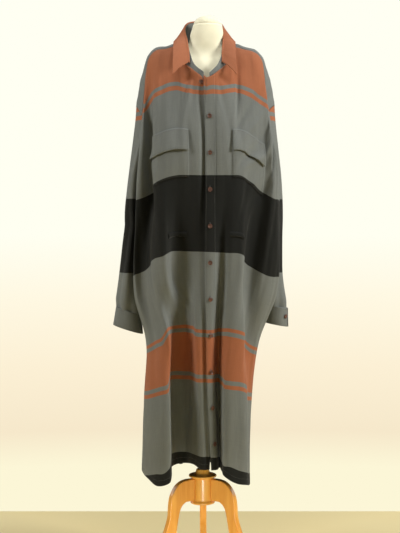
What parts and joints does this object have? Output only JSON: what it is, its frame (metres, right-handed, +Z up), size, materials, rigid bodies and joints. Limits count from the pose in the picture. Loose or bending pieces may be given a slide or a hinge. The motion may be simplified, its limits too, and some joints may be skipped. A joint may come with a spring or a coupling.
{
  "type": "shirt dress on dress form",
  "caption": "Oversized long-sleeved striped shirt dress with a point collar, button front and flap pockets, worn by a limbless linen dress form on a wooden tripod.",
  "frame": {"origin": "on the floor, under the middle of the object's bounding box", "axes": "+Z up, the front of the dress faces -Y, +X is the wearer's left"},
  "size_m": [0.5296, 0.407, 1.6883],
  "materials": {
    "striped_cloth": "matte",
    "rust_cloth": "matte",
    "horn": "polished",
    "linen": "matte",
    "beech": "varnished",
    "steel": "brushed"
  },
  "bodies": {
    "root": {"front_right": "striped_cloth", "pocket_right": "striped_cloth", "flap_right": "striped_cloth", "welt_right": "striped_cloth", "front_left": "striped_cloth", "pocket_left": "striped_cloth", "flap_left": "striped_cloth", "welt_left": "striped_cloth", "placket": "striped_cloth", "button_02": "horn", "button_03": "horn", "button_04": "horn", "button_05": "horn", "button_06": "horn", "button_07": "horn", "button_08": "horn", "button_09": "horn", "button_10": "horn", "button_11": "horn", "button_01": "horn", "back": "striped_cloth", "yoke": "striped_cloth", "sleeve_right": "striped_cloth", "cuff_right": "striped_cloth", "cuff_button_right": "horn", "sleeve_left": "striped_cloth", "cuff_left": "striped_cloth", "cuff_button_left": "horn", "collar_leaf": "rust_cloth", "collar_stand": "striped_cloth", "form_body": "linen", "form_cap": "linen", "pole": "steel", "hub": "beech", "hub_disc": "beech", "leg_1": "beech", "leg_2": "beech", "leg_3": "beech"}
  },
  "joints": []
}
